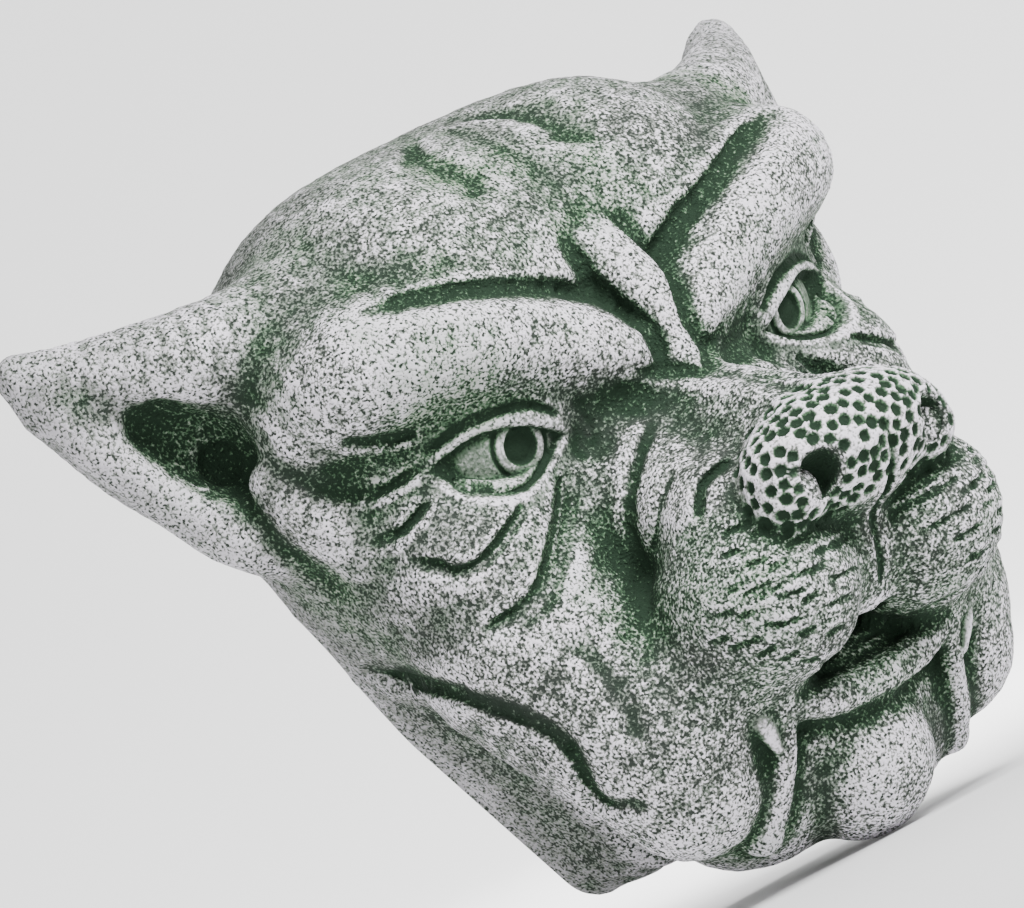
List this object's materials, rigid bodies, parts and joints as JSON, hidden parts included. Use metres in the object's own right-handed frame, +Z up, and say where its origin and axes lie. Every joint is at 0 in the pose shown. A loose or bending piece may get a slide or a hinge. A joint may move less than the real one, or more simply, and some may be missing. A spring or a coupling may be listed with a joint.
{
  "type": "wall gargoyle head",
  "caption": "Cast-stone wall mask of a heavy-jowled beast with spread bat ears, deep brows, dimpled nose, small fangs and a flat back.",
  "frame": {"origin": "on the flat back, on the middle line, halfway up the head, where it meets the wall", "axes": "+Z up as the head hangs, +Y out of the flat back into the wall, the face looks to -Y"},
  "size_m": [0.3522, 0.185, 0.2796],
  "materials": {
    "cast_stone": "matt, pitted, dry-brushed pale over a green wash"
  },
  "bodies": {
    "root": {"gargoyle_head": "cast_stone"}
  },
  "joints": []
}
